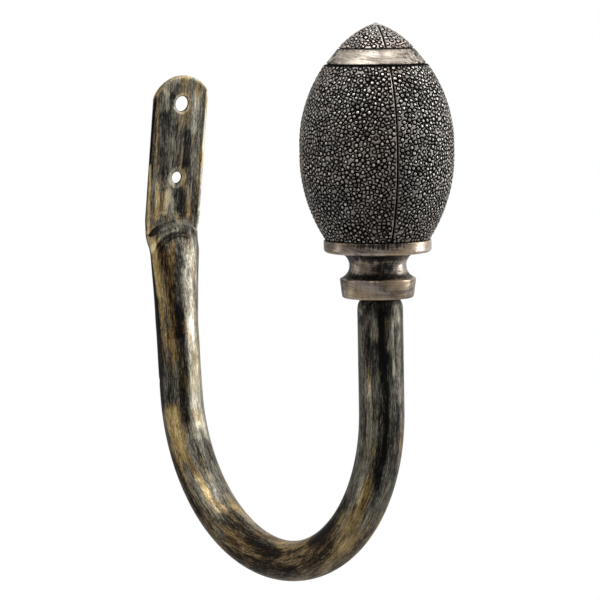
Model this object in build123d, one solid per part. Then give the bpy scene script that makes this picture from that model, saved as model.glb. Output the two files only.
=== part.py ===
from build123d import *
import os
from math import asin, atan, atan2, cos, degrees, hypot, pi, radians, sin, tan

# Curtain holdback hook: a bent steel tube with a pressed wall plate and a cast finial.
# Millimetres, +Z up. The wall is the XZ plane and the hook stands out from it along -Y.
# The origin is on the plate's back face, midway between the two screw holes.

# Tube
tube_diameter = 16.0
tube_wall = 1.2

# Wall plate, pressed flat from the tube's upper end
plate_width = 24.4
plate_thickness = 2.6
plate_end_radius = 13.4
plate_end_rounding = 0.5
top_margin = 10.4
hole_spacing = 28.0
upper_hole_diameter = 5.7
lower_hole_diameter = 4.2
sink_diameter = 7.7
sink_angle = 90.0

# Shoulder where the press stopped, and the flare from there to the round tube
shoulder_drop = 16.0
shoulder_depth = 4.8
shoulder_arch_radius = 18.0
shoulder_rise_angle = 62.0
shoulder_blend = 3.5
flare_length = 37.7
flare_power = 1.15
flare_steps = 5
flat_back_share = 0.55
void_start = 7.5

# Route of the tube below the flare
first_lean = 14.0
first_length = 30.0
round_start = 9.0
bend_radius = 60.6
bend_squeeze = 0.086
bend_spread = 0.053
bend_steps = 8
second_lean = 8.8
second_length = 39.8

# Free end of the tube, rolled in over a threaded plug that holds the finial's stud
lip_radius = 2.5
plug_length = 16.0
plug_clearance = 0.05
stud_diameter = 6.0
stud_clearance = 0.05
stud_depth_in_plug = 13.0
stud_depth_in_finial = 14.0
stud_end_room = 2.0
stud_chamfer = 0.8

# Finial: collar, cove and flange
collar_bottom_radius = 12.5
collar_top_radius = 13.3
collar_height = 6.6
collar_bottom_rounding = 0.9
collar_top_rounding = 0.4
collar_edge_step = 0.7
collar_edge_height = 0.4
cove_height = 8.4
cove_waist_rise = 4.1
cove_depth = 2.65
flange_reach = 6.2
flange_underside_rise = 0.6
flange_height = 4.2
flange_bottom_rounding = 1.3
flange_top_rounding = 0.4
flange_ledge = 0.7

# Finial: egg, plain band and pointed tip
egg_bulge = 8.75
egg_lower_height = 31.3
egg_upper_height = 29.5
egg_taper = 8.85
band_step = 0.65
band_gap = 0.6
band_height = 4.8
band_taper = 3.95
crevice_depth = 0.7
tip_step = 0.4
tip_gap = 0.5
tip_rise = 8.8
tip_crown_radius = 28.5
tip_end_radius = 1.0
tip_end_rise = 0.55

# Panel seams along the egg and the tip
seam_count = 4
seam_direction = -114.0
seam_width = 0.7
seam_depth = 0.55
seam_stop_radius = 2.2

# Sizes that follow from those above
tube_radius = tube_diameter / 2
bore_radius = tube_radius - tube_wall
hole_height = hole_spacing / 2
plate_top = hole_height + top_margin
shoulder_top = -hole_height - shoulder_drop
heel = shoulder_top - flare_length
lean_1 = radians(first_lean)
lean_2 = radians(second_lean)
bend_turn = pi + lean_2 - lean_1
sideways = Vector(-1, 0, 0)

# Radii and heights of the finial, each from the one below it
cove_edge_radius = collar_top_radius - collar_edge_step
cove_waist_radius = cove_edge_radius - cove_depth
flange_radius = cove_edge_radius + flange_reach
egg_base_radius = flange_radius - flange_ledge
egg_widest_radius = egg_base_radius + egg_bulge
egg_top_radius = egg_widest_radius - egg_taper
band_bottom_radius = egg_top_radius - band_step
band_top_radius = band_bottom_radius - band_taper
tip_base_radius = band_top_radius - tip_step
cove_start_height = collar_height + collar_edge_height
cove_waist_height = cove_start_height + cove_waist_rise
cove_end_height = cove_start_height + cove_height
flange_bottom_height = cove_end_height + flange_underside_rise
flange_top_height = flange_bottom_height + flange_height
egg_widest_height = flange_top_height + egg_lower_height
egg_top_height = egg_widest_height + egg_upper_height
band_bottom_height = egg_top_height + band_gap
band_top_height = band_bottom_height + band_height
tip_base_height = band_top_height + tip_gap
tip_height = tip_base_height + tip_rise


def out(distance, height, side=0.0):
    """Point or direction given by its distance out from the wall and its height."""
    return Vector(side, -distance, height)


# Corner points of the centreline
down_first = out(sin(lean_1), -cos(lean_1))
away_first = out(cos(lean_1), sin(lean_1))
up_second = out(-sin(lean_2), cos(lean_2))
heel_axis = out(0, heel) + away_first * tube_radius
round_top = heel_axis + down_first * round_start
bend_start = heel_axis + down_first * first_length
bend_centre = bend_start + away_first * bend_radius
bend_end = bend_centre + out(cos(lean_2), sin(lean_2)) * bend_radius
tube_end = bend_end + up_second * second_length
end_plane = Plane(origin=tube_end, x_dir=(1, 0, 0), z_dir=up_second)


def level_plane(height):
    """Horizontal plane whose Y runs out from the wall."""
    return Plane(origin=out(0, height), x_dir=sideways, z_dir=(0, 0, 1))


def outline(plane, crown, corner, back_corner, back_crown):
    """Closed wire of six edges: crown, corners and back, mirrored side to side."""
    def mirrored(points):
        return [(-x, y) for x, y in reversed(points)]

    stretches = [
        crown,
        corner,
        back_corner[::-1],
        back_crown[::-1],
        mirrored(back_corner[::-1]),
        mirrored(corner),
    ]
    edges = [
        Edge.make_bezier(*[plane.from_local_coords((x, y, 0)) for x, y in points])
        for points in stretches
    ]
    return Wire(edges)


def half_section(half_width, half_depth, middle, sign, flat):
    """Crown and corner curves of one side, from half an ellipse (flat 0) to half a slot (flat 1)."""
    join = flat * (half_width - half_depth) + (1 - flat) * half_width / 2
    slope = atan((1 - flat) * half_depth / half_width * tan(pi / 6))
    crown_pull = 4 / 3 * tan(slope / 2) / tan(slope)
    corner_turn = pi / 2 - slope
    corner_pull = 4 / 3 * tan(corner_turn / 4) / tan(corner_turn / 2)
    join_y = half_depth - join * tan(slope / 2)
    crown_y = join_y + crown_pull * join * tan(slope)
    meet_y = join_y - (half_width - join) * tan(slope)
    crown = [
        (-join, join_y),
        (-join * (1 - crown_pull), crown_y),
        (join * (1 - crown_pull), crown_y),
        (join, join_y),
    ]
    corner = [
        (join, join_y),
        (join + corner_pull * (half_width - join), join_y + corner_pull * (meet_y - join_y)),
        (half_width, corner_pull * meet_y),
        (half_width, 0.0),
    ]
    return [[(x, middle + sign * y) for x, y in points] for points in (crown, corner)]


def pressed_wire(plane, half_width, back, front, flat_back=0.0):
    """Section of the pressed or squeezed tube between two distances along the plane's Y."""
    half_depth = (front - back) / 2
    middle = (front + back) / 2
    crown, corner = half_section(half_width, half_depth, middle, 1, 0.0)
    back_crown, back_corner = half_section(half_width, half_depth, middle, -1, flat_back)
    return outline(plane, crown, corner, back_corner, back_crown)


def round_wire(plane, radius):
    """Circle in six arcs that line up with the other sections' edges."""
    sixth = pi / 3
    edges = []
    for index in range(6):
        angles = [2 * sixth - (index + share) * sixth for share in (0, 0.5, 1)]
        points = [
            plane.from_local_coords((radius * cos(angle), radius * sin(angle), 0)) for angle in angles
        ]
        edges.append(Edge.make_three_point_arc(*points))
    return Wire(edges)


def slot_wire(plane, width, depth):
    """Section of the plate: two flats and four quarter rounds."""
    radius = depth / 2
    flat = width / 2 - radius
    quarter = sin(pi / 4) * radius

    def point(x, y):
        return plane.from_local_coords((x, y, 0))

    edges = [Edge.make_line(point(-flat, depth), point(flat, depth))]
    for side in (1, -1):
        far = side * flat
        edge_mid = point(side * (flat + radius), radius)
        edges.append(Edge.make_three_point_arc(
            point(far, radius + side * radius),
            point(far + side * quarter, radius + side * quarter),
            edge_mid,
        ))
        edges.append(Edge.make_three_point_arc(
            edge_mid,
            point(far + side * quarter, radius - side * quarter),
            point(far, radius - side * radius),
        ))
        if side == 1:
            edges.append(Edge.make_line(point(flat, 0), point(-flat, 0)))
    return Wire(edges)


def flare_wire(share, inset=0.0):
    """Section of the flare at a share of the way from the shoulder to the heel."""
    grown = share**flare_power
    half_width = plate_width / 2 + (tube_radius - plate_width / 2) * grown
    full_depth = tube_diameter / cos(lean_1)
    front = shoulder_depth + (full_depth - shoulder_depth) * grown
    plane = level_plane(shoulder_top - share * flare_length)
    flat_back = flat_back_share * (1 - grown)
    return pressed_wire(plane, half_width - inset, inset, front - inset, flat_back)


def bend_wire(share, inset=0.0):
    """Section at a share of the bend, squeezed most in the middle of the turn."""
    angle = share * bend_turn
    strain = sin(pi * share)
    inward = away_first * cos(angle) - down_first * sin(angle)
    along = down_first * cos(angle) + away_first * sin(angle)
    plane = Plane(origin=bend_centre - inward * bend_radius, x_dir=sideways, z_dir=-along)
    if share in (0.0, 1.0):
        return round_wire(plane, tube_radius - inset)
    half_width = tube_radius * (1 + bend_spread * strain) - inset
    half_depth = tube_radius * (1 - bend_squeeze * strain) - inset
    return pressed_wire(plane, half_width, -half_depth, half_depth)


def wall_plate():
    """Flat bar with full-round long edges, an arched top and two countersunk holes."""
    foot = level_plane(shoulder_top + shoulder_blend)
    height = plate_top - shoulder_top - shoulder_blend
    bar = Solid.extrude(Face(slot_wire(foot, plate_width, plate_thickness)), Vector(0, 0, height))
    arch_centre = plate_top - plate_end_radius
    arch = Pos(0, 0, arch_centre) * Rot(90, 0, 0) * Cylinder(plate_end_radius, 4 * plate_thickness)
    below_arch = Pos(0, 0, arch_centre - plate_width) * Box(
        2 * plate_width, 4 * plate_thickness, 2 * plate_width
    )
    bar = bar & (arch + below_arch)
    top_edges = bar.edges().filter_by(lambda edge: edge.center().Z > plate_top - plate_end_radius / 2)
    bar = fillet(top_edges.filter_by(GeomType.CIRCLE), plate_end_rounding)
    for height, diameter in ((hole_height, upper_hole_diameter), (-hole_height, lower_hole_diameter)):
        bar = bar - screw_hole(height, diameter)
    return bar


def screw_hole(height, diameter):
    """Through hole with a conical sink in the plate's front."""
    sink_depth = (sink_diameter - diameter) / 2 / tan(radians(sink_angle / 2))
    through = Cylinder(diameter / 2, 4 * plate_thickness)
    spare = plate_thickness
    flare_out = spare * tan(radians(sink_angle / 2))
    sink = Pos(0, 0, plate_thickness - sink_depth + (sink_depth + spare) / 2) * Cone(
        diameter / 2, sink_diameter / 2 + flare_out, sink_depth + spare
    )
    return Pos(0, 0, height) * Rot(90, 0, 0) * (through + sink)


def press_jaw():
    """What the press left out: all in front of the plate and above the shoulder's arch."""
    reach = 2 * tube_diameter
    arch_centre = shoulder_top - shoulder_arch_radius
    block = Pos(0, -plate_thickness - reach / 2, arch_centre + plate_width) * Box(
        2 * plate_width, reach, 2 * plate_width
    )
    rise = shoulder_arch_radius * tan(radians(shoulder_rise_angle)) / 2
    shrink = rise / tan(radians(shoulder_rise_angle))
    punch = Cone(shoulder_arch_radius + shrink, shoulder_arch_radius - shrink, 2 * rise)
    punch = Pos(0, -plate_thickness, arch_centre) * Rot(90, 0, 0) * punch
    return block - punch


def flare():
    """Shoulder and flare: hollow, flush with the wall down to the heel."""
    round_plane = Plane(origin=round_top, x_dir=sideways, z_dir=-down_first)
    shares = [step / flare_steps for step in range(flare_steps + 1)]
    foot = level_plane(shoulder_top + shoulder_blend)
    skin = Solid.make_loft(
        [slot_wire(foot, plate_width, plate_thickness)]
        + [flare_wire(share) for share in shares]
        + [round_wire(round_plane, tube_radius)]
    )
    first = void_start / flare_length
    void_shares = [first + (1 - first) * share for share in shares]
    void = Solid.make_loft(
        [flare_wire(share, tube_wall) for share in void_shares]
        + [round_wire(round_plane, bore_radius)]
    )
    behind_wall = Pos(0, plate_width / 2, heel) * Box(2 * plate_width, plate_width, 4 * flare_length)
    return skin - press_jaw() - behind_wall - void


def first_leg():
    plane = Plane(origin=round_top, x_dir=sideways, z_dir=-down_first)
    run = down_first * (first_length - round_start)
    skin = Solid.extrude(Face(round_wire(plane, tube_radius)), run)
    return skin - Solid.extrude(Face(round_wire(plane, bore_radius)), run)


def bend():
    shares = [step / bend_steps for step in range(bend_steps + 1)]
    skin = Solid.make_loft([bend_wire(share) for share in shares])
    return skin - Solid.make_loft([bend_wire(share, tube_wall) for share in shares])


def second_leg():
    """Straight end of the tube, its lip rolled in to a smaller mouth."""
    mouth = tube_radius - lip_radius
    inner_lip = lip_radius - tube_wall
    slant = sin(pi / 4)
    section = (
        Line((tube_radius, -second_length), (tube_radius, -lip_radius))
        + ThreePointArc(
            (tube_radius, -lip_radius),
            (mouth + lip_radius * slant, -lip_radius * (1 - slant)),
            (mouth, 0),
        )
        + Line((mouth, 0), (mouth, -tube_wall))
        + ThreePointArc(
            (mouth, -tube_wall),
            (mouth + inner_lip * slant, -lip_radius + inner_lip * slant),
            (bore_radius, -lip_radius),
        )
        + Line((bore_radius, -lip_radius), (bore_radius, -second_length))
        + Line((bore_radius, -second_length), (tube_radius, -second_length))
    )
    return end_plane.location * revolve(Plane.XZ * make_face(section), Axis.Z)


def hook_tube():
    return wall_plate() + flare() + first_leg() + bend() + second_leg()


def end_plug():
    """Turned plug trapped under the rolled lip, bored for the stud."""
    body = bore_radius - plug_clearance
    nose = tube_radius - lip_radius - plug_clearance
    shoulder = lip_radius - tube_wall - plug_clearance
    shoulder_centre = tube_radius - lip_radius
    lean_in = asin(plug_clearance / shoulder)
    slant = (pi / 2 + lean_in) / 2
    section = (
        Line((0, -plug_length), (body, -plug_length))
        + Line((body, -plug_length), (body, -lip_radius))
        + ThreePointArc(
            (body, -lip_radius),
            (shoulder_centre + shoulder * cos(slant), -lip_radius + shoulder * sin(slant)),
            (nose, -lip_radius + shoulder * cos(lean_in)),
        )
        + Line((nose, -lip_radius + shoulder * cos(lean_in)), (nose, 0))
        + Line((nose, 0), (0, 0))
        + Line((0, 0), (0, -plug_length))
    )
    plug = revolve(Plane.XZ * make_face(section), Axis.Z)
    plug = plug - Cylinder(stud_diameter / 2 + stud_clearance, 4 * plug_length)
    return end_plane.location * plug


def finial_stud():
    """Steel stud between the plug and the finial, bevelled at both ends."""
    length = stud_depth_in_plug + stud_depth_in_finial
    stud = Pos(0, 0, length / 2 - stud_depth_in_plug) * Cylinder(stud_diameter / 2, length)
    stud = chamfer(stud.edges().filter_by(GeomType.CIRCLE), stud_chamfer)
    return end_plane.location * stud


def arc_centre_below(start, end, radius):
    """Centre of the arc from start to end that bulges away from the finial's axis."""
    middle = ((start[0] + end[0]) / 2, (start[1] + end[1]) / 2)
    chord = hypot(end[0] - start[0], end[1] - start[1])
    back = (radius**2 - chord**2 / 4) ** 0.5 / chord
    return (middle[0] - (end[1] - start[1]) * back, middle[1] + (end[0] - start[0]) * back)


def meridian_arc(centre, radius, start, end, shift=0.0):
    """Arc about a centre between the directions of two points, moved in or out by shift."""
    first = degrees(atan2(start[1] - centre[1], start[0] - centre[0]))
    last = degrees(atan2(end[1] - centre[1], end[0] - centre[0]))
    return CenterArc(centre, radius + shift, first, last - first)


# Meridian of the egg and the tip: points, arc radii and centres
egg_base = (egg_base_radius, flange_top_height)
egg_widest = (egg_widest_radius, egg_widest_height)
egg_top = (egg_top_radius, egg_top_height)
tip_base = (tip_base_radius, tip_base_height)


def tangent_radius(end):
    """Radius of the arc that leaves the egg's widest point upright and reaches end."""
    inward = egg_widest_radius - end[0]
    return (inward**2 + (end[1] - egg_widest_height) ** 2) / (2 * inward)


lower_radius = tangent_radius(egg_base)
upper_radius = tangent_radius(egg_top)
lower_centre = (egg_widest_radius - lower_radius, egg_widest_height)
upper_centre = (egg_widest_radius - upper_radius, egg_widest_height)
tip_centre = arc_centre_below(tip_base, (0, tip_height), tip_crown_radius)


def tip_point(radius):
    """Point of the tip's crown at a radius from the finial's axis."""
    height = (tip_crown_radius**2 - (radius - tip_centre[0]) ** 2) ** 0.5
    return (radius, tip_centre[1] + height)


def finial_profile():
    """Half section of the finial in radius and height above the tube's end."""
    collar = FilletPolyline(
        (0, 0),
        (collar_bottom_radius, 0),
        (collar_top_radius, collar_height),
        (cove_edge_radius, cove_start_height),
        radius=[collar_bottom_rounding, collar_top_rounding],
    )
    cove = ThreePointArc(
        (cove_edge_radius, cove_start_height),
        (cove_waist_radius, cove_waist_height),
        (cove_edge_radius, cove_end_height),
    )
    flange = FilletPolyline(
        (cove_edge_radius, cove_end_height),
        (flange_radius, flange_bottom_height),
        (flange_radius, flange_top_height),
        egg_base,
        radius=[flange_bottom_rounding, flange_top_rounding],
    )
    band = Polyline(
        egg_top,
        (band_bottom_radius - crevice_depth, (egg_top_height + band_bottom_height) / 2),
        (band_bottom_radius, band_bottom_height),
        (band_top_radius, band_top_height),
        (tip_base_radius - crevice_depth, (band_top_height + tip_base_height) / 2),
        tip_base,
    )
    tip_end = tip_point(tip_end_radius)
    apex = (0, tip_end[1] + tip_end_rise)
    rounded_end = TangentArc(apex, tip_end, tangent=(1, 0))
    return (
        collar
        + cove
        + flange
        + meridian_arc(lower_centre, lower_radius, egg_base, egg_widest)
        + meridian_arc(upper_centre, upper_radius, egg_widest, egg_top)
        + band
        + meridian_arc(tip_centre, tip_crown_radius, tip_base, tip_end)
        + rounded_end
        + Line(apex, (0, 0))
    )


def seam_blade(arcs):
    """Thin blade along a run of the meridian, as wide and deep as a seam."""
    inner = [meridian_arc(*arc, -seam_depth) for arc in arcs]
    outer = [meridian_arc(*arc, seam_depth) for arc in arcs]
    rim = inner + outer + [Line(inner[0] @ 0, outer[0] @ 0), Line(inner[-1] @ 1, outer[-1] @ 1)]
    return extrude(Plane.XZ * make_face(rim), seam_width / 2, both=True)


def finial():
    """One casting: collar, cove, flange, seamed egg, band and seamed tip, on a blind hole."""
    body = revolve(Plane.XZ * make_face(finial_profile()), Axis.Z)
    lower = (lower_centre, lower_radius, egg_base, egg_widest)
    upper = (upper_centre, upper_radius, egg_widest, egg_top)
    tip = (tip_centre, tip_crown_radius, tip_base, tip_point(seam_stop_radius))
    blades = [seam_blade([lower, upper]), seam_blade([tip])]
    for index in range(seam_count):
        turn = Rot(0, 0, seam_direction + index * 360 / seam_count)
        for blade in blades:
            body = body - turn * blade
    depth = stud_depth_in_finial + stud_end_room
    body = body - Pos(0, 0, depth / 2) * Cylinder(stud_diameter / 2 + stud_clearance, depth)
    return end_plane.location * body


parts = {
    "hook_tube": hook_tube(),
    "end_plug": end_plug(),
    "finial_stud": finial_stud(),
    "finial": finial(),
}

os.makedirs("parts", exist_ok=True)
for name, shape in parts.items():
    export_step(shape, f"parts/{name}.step")
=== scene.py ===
import bpy
import bmesh
import numpy as np
from math import asin, cos, hypot, pi, radians, sin, tan
from mathutils import Matrix, Vector, kdtree


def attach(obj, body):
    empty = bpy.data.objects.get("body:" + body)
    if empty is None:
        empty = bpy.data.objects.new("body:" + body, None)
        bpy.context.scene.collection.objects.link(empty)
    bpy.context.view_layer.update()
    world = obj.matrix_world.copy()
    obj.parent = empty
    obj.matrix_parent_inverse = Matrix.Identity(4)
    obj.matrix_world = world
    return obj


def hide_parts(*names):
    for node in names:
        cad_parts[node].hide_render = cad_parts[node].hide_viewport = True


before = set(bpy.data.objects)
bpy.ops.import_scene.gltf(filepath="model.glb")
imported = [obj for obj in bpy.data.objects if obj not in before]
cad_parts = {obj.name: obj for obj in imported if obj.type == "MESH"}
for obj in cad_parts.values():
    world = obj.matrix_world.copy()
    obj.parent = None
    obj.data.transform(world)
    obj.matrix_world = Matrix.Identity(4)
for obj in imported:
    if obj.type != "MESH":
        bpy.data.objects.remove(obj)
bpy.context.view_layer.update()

# Curtain holdback hook. Lengths are in millimetres until a mesh is made; x runs sideways,
# a point's distance out from the wall is -y, and z is up.
MM = 0.001

# Route of the tube
TUBE_RADIUS = 8.0
FIRST_LEAN = radians(14.0)
SECOND_LEAN = radians(8.8)
HEEL = -67.7
ROUND_START = 9.0
FIRST_LENGTH = 30.0
BEND_RADIUS = 60.6
BEND_SQUEEZE = 0.086
BEND_SPREAD = 0.053
SECOND_LENGTH = 39.8
BEND_TURN = pi + SECOND_LEAN - FIRST_LEAN

# Wall plate
PLATE_HALF = 12.2
PLATE_THICK = 2.6
PLATE_TOP = 24.4
PLATE_ARC = 13.4
ARC_SHIFT = 0.5
PLATE_ROUNDING = 0.5
ARC_ROWS_FROM = 6.0
HOLES = ((14.0, 5.7, 0.3), (-14.0, 4.3, 0.4))
SINK_DIAMETER = 7.7
HOLE_LAND = 0.35
HOLE_RIM = 0.25
CUT_SPARE = 1.5
RELIEF_SLOPE = tan(radians(40.0))

# Shoulder and flare
SHOULDER_TOP = -30.0
SHOULDER_BLEND = 3.5
SHOULDER_DEPTH = 4.8
PRESS_TOP = -30.2
PRESS_RADIUS = 15.4
SHOULDER_SLOPE = tan(radians(62.0))
SHOULDER_SOFTNESS = 0.35
FLARE_LENGTH = 37.7
FLARE_POWER = 0.95
WING_END = -35.0
WING_FADE = -42.5
FLAT_BACK = 0.4
HEEL_LIFT = 0.4

# Notch low on the back of the first leg: place along it, depth and width
NOTCH = (24.2, 0.35, 0.7)
# Creases and ridges on the pressed wall: place inside the arch, depth or height, and width
CREASES = ((4.2, 0.24, 0.3), (5.4, 0.20, 0.3), (6.6, 0.12, 0.35))
RIDGES = ((2.6, 0.26, 0.7), (4.8, 0.18, 0.3))
# Marks on that wall: place, amount and width. RUBBED_RIDGE is brass rubbed on a ridge; the others are
# painted shade (negative) in the creases and below the right branch, and painted highlight (positive)
# on the right branch and the left of the wall.
RUBBED_RIDGE = ((3.0, 0.15, 0.4),)
CREASE_SHADE = ((4.4, -0.15, 0.35), (5.6, -0.15, 0.3))
RIGHT_HIGHLIGHT_AND_SHADE = ((0.6, 0.02, 0.7), (2.2, -0.08, 0.8))
LEFT_HIGHLIGHT = ((3.4, 0.22, 0.7),)

# Rolled lip and the bore that holds the plug
LIP_RADIUS = 2.5
LIP_LENGTH = 4.2
TUBE_WALL = 1.2
BORE_DEPTH = 16.3

# Mesh density
ACROSS = 72
EGG_COLUMNS = 216
EGG_ROWS = 350
TURNED_COLUMNS = 256
LONGEST = 0.5

# Finial, in radius and height above the tube's end
BORE_RADIUS = 3.9
BORE_TOP = 16.0
COLLAR_TOP = (12.6, 7.0)
COVE_WAIST = (9.95, 11.1)
COVE_TOP = (12.6, 15.4)
FLANGE_RADIUS = 18.8
EGG_BASE = (18.1, 20.2)
EGG_WIDEST = (26.85, 51.5)
EGG_TOP = (18.0, 81.0)
BAND_BOTTOM = (17.35, 81.6)
BAND_TOP = (13.4, 86.4)
CREVICE = 0.7
TIP_BASE = (13.0, 86.9)
TIP_HEIGHT = 95.3
TIP_CROWN = 28.5
TIP_END_RADIUS = 1.0
TIP_END_RISE = 0.55
EGG_FULLNESS = 0.28
SEAT_OFFSET = np.array([-0.52, 0.39, -0.05])
SEAT_TILT = radians(0.4)
SEAM_COUNT = 4
SEAM_DIRECTION = radians(-113.1)
SEAM_HALF = 0.34
SEAM_DEPTH = 0.55
SEAM_GAP = 0.03
SEAM_STOP = 2.2
SEAM_CLEAR = 1.02
TIP_SEAM_CLEAR = 1.08
RIM_CLEAR = 0.66
PANEL_DEPTH = 6.0
PANEL_CREASE = 75.0

# Darker (positive) and lighter (negative) sides of the turned parts: direction in degrees, amount, half
# width. The collar's and neck's darker left edges are painted shade, the neck's darker middle a painted
# dark reflection, the neck's and flange's lighter right sides painted highlights, and the band's darker
# sides painted shade; FLANGE_STAIN is a stain.
COLLAR_SIDES = ((-55.0, 0.3, 22.0), (148.0, 0.5, 26.0), (-150.0, -0.3, 24.0))
NECK_PAINTED_LIGHT = ((-112.0, 0.7, 18.0), (-72.0, -0.35, 14.0), (150.0, 0.4, 24.0))
FLANGE_STAIN = ((-122.0, 1.1, 32.0),)
FLANGE_HIGHLIGHT = ((-80.0, -0.45, 16.0),)
BAND_SIDE_SHADE = ((148.0, 0.8, 30.0), (-50.0, 0.8, 36.0))

# Pebbles
PEBBLE_SPACING = 1.57
PEBBLE_REACH = 2.2
PEBBLE_RADIUS = 0.72
MOAT_END = 0.95
WEB_START = 1.05
DOME_TOP = 0.14
DIMPLED_SHARE = 0.22
DIMPLE_DEPTH = 0.10
DIMPLE_WIDTH = 0.16
WEB_TONE = 0.79
SPREAD_STEPS = 11
SPREAD_PUSH = 0.22
MOAT_DEPTH = 0.38


def smooth(low, high, value):
    """0 below low, 1 above high and an S-curve between them."""
    share = np.clip((value - low) / (high - low), 0.0, 1.0)
    return share * share * (3 - 2 * share)


def bump(centre, width, value):
    return np.exp(-(((value - centre) / width) ** 2))


def summed(marks, value):
    """Sum of bumps given as place, height and width."""
    return sum(height * bump(place, width, value) for place, height, width in marks)


def blend(share, first, second):
    return first * (1 - share) + second * share


def soft_min(first, second, softness):
    share = np.clip(0.5 + 0.5 * (second - first) / softness, 0.0, 1.0)
    return blend(share, second, first) - softness * share * (1 - share)


# Route in the plane of distance out and height
DOWN_FIRST = np.array([sin(FIRST_LEAN), -cos(FIRST_LEAN)])
AWAY_FIRST = np.array([cos(FIRST_LEAN), sin(FIRST_LEAN)])
UP_SECOND = np.array([-sin(SECOND_LEAN), cos(SECOND_LEAN)])
HEEL_BACK = np.array([0.0, HEEL])
BEND_START = HEEL_BACK + AWAY_FIRST * TUBE_RADIUS + DOWN_FIRST * FIRST_LENGTH
BEND_CENTRE = BEND_START + AWAY_FIRST * BEND_RADIUS
BEND_END = BEND_CENTRE + np.array([cos(SECOND_LEAN), sin(SECOND_LEAN)]) * BEND_RADIUS
TUBE_END = BEND_END + UP_SECOND * SECOND_LENGTH


def plate_rows():
    """Level rows from the arched top down to the heel, finest at the shoulder."""
    levels = [
        np.arange(ARC_ROWS_FROM - 0.5, -24.0, -0.5),
        np.arange(-24.0, -27.0, -0.4),
        np.arange(-27.0, -41.0, -0.16),
        np.linspace(-41.0, HEEL, 34),
    ]
    arched = [("arch", share) for share in np.linspace(1, 0, 36)]
    return arched + [("level", z) for z in np.concatenate(levels)]


def flare_section(z):
    """Half width, front, level of the side edges and flatness of the back at a height."""
    plate_edge = PLATE_THICK / 2
    if z >= SHOULDER_TOP:
        grown = float(smooth(SHOULDER_TOP + SHOULDER_BLEND, SHOULDER_TOP, z))
        front = blend(grown, PLATE_THICK, SHOULDER_DEPTH)
        return PLATE_HALF, front, plate_edge, 1 - grown, 1.0
    grown = ((SHOULDER_TOP - z) / FLARE_LENGTH) ** FLARE_POWER
    half = blend(grown, PLATE_HALF, TUBE_RADIUS)
    front = blend(grown, SHOULDER_DEPTH, 2 * TUBE_RADIUS / cos(FIRST_LEAN))
    wing = 1 - float(smooth(-WING_END, -WING_FADE, -z))
    edge = blend(wing, front / 2, plate_edge)
    return half, front, edge, 0.0, blend(wing, FLAT_BACK * (1 - grown), 1.0)


def across(half, corner, square):
    """Sideways places of the columns and their share of the depth, from ellipse to slot."""
    turn = np.linspace(-pi / 2, pi / 2, ACROSS + 1)
    x = half * np.sin(turn)
    over = np.clip((np.abs(x) - (half - corner)) / corner, 0, 1)
    return x, blend(square, np.cos(turn), np.sqrt(1 - over**2))


def press_marks(x, z, front):
    """Front of the tube where the press stopped: its wall, the crevice and the creases."""
    inside = inside_arch(x, z)
    if z < PRESS_TOP - PRESS_RADIUS or z > SHOULDER_TOP + 2 * SHOULDER_BLEND:
        return front
    wall = PLATE_THICK + SHOULDER_SLOPE * np.clip(inside, 0, None)
    blended = float(smooth(2 * SHOULDER_BLEND, SHOULDER_BLEND, z - SHOULDER_TOP))
    pressed = soft_min(front, wall, SHOULDER_SOFTNESS * blended + 1e-3)
    width = crevice_width(x)
    crevice = 0.9 * width * bump(width, width, inside) * smooth(-0.1, 0.3, inside)
    rim = smooth(PLATE_HALF, PLATE_HALF - PLATE_THICK / 2, np.abs(x))
    return pressed - crevice * rim + (summed(RIDGES, inside) - summed(CREASES, inside)) * crease_span(x)


def crease_span(x):
    """1 across the middle, where the creases are, and 0 toward the sides."""
    return smooth(-10.2, -8.4, x) * smooth(5.0, 3.0, x)


def crevice_width(x):
    """Half the crevice's width along the arch, widest at the left and gone at the right."""
    grown = smooth(-5.8, -9.2, x) * smooth(-11.6, -9.4, x)
    return 0.05 + (0.28 + 0.24 * grown) * smooth(2.5, 0.0, x) * smooth(-12.4, -10.5, x)


def inside_arch(x, z):
    """How far a point of the front lies inside the shoulder's arch."""
    return PRESS_RADIUS - np.hypot(x, z - (PRESS_TOP - PRESS_RADIUS))


def level_ring(kind, value):
    """One ring of the plate or the flare, over the front and back under it."""
    z = value if kind == "level" else ARC_ROWS_FROM
    half, front, edge, square_front, square_back = flare_section(z)
    x, front_share = across(half, edge, square_front)
    back_share = across(half, edge, square_back)[1]
    front_out = edge + (front - edge) * front_share
    back_out = edge - edge * back_share
    height = np.full_like(x, z)
    if kind == "arch":
        height = arch_height(x, value)
    else:
        front_out = press_marks(x, z, front_out)
    lift = HEEL_LIFT * float(smooth(45.0, -HEEL, -z)) if kind == "level" else 0.0
    return x, front_out + lift, back_out + lift, height, front / 2


def arch_height(x, share):
    top = PLATE_TOP - PLATE_ARC + np.sqrt(PLATE_ARC**2 - (x - ARC_SHIFT) ** 2)
    return ARC_ROWS_FROM + (top - PLATE_ROUNDING - ARC_ROWS_FROM) * share


def top_rings():
    """Rings that round over the plate's arched top edge, from its face to its crest."""
    rings = []
    for angle in np.radians([90, 66, 42, 20]):
        inward = PLATE_ROUNDING * (1 - cos(angle))
        x, share = across(PLATE_HALF - inward, PLATE_THICK / 2, 1.0)
        middle = PLATE_THICK / 2
        depth = middle - inward
        height = arch_height(x, 1.0) + PLATE_ROUNDING * sin(angle)
        rings.append((x, middle + depth * share, middle - depth * share, height, middle))
    return rings


def leg_row(back, front, half):
    """Round or oval ring between two distances out, with its half width."""
    middle = (front + back) / 2
    depth = (front - back) / 2
    x, share = across(half, depth, 0.0)
    return x, middle + depth * share, middle - depth * share, middle


def flat_rings():
    """Rings of the plate and the flare, with their tilt, start and place along the tube."""
    for ring in top_rings() + [level_ring(*row) for row in plate_rows()]:
        x, front_out, back_out, height, middle = ring
        zs = closed(height, height)
        yield x, front_out, back_out, middle, 0.0, (0.0, zs), PLATE_TOP - zs


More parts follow.
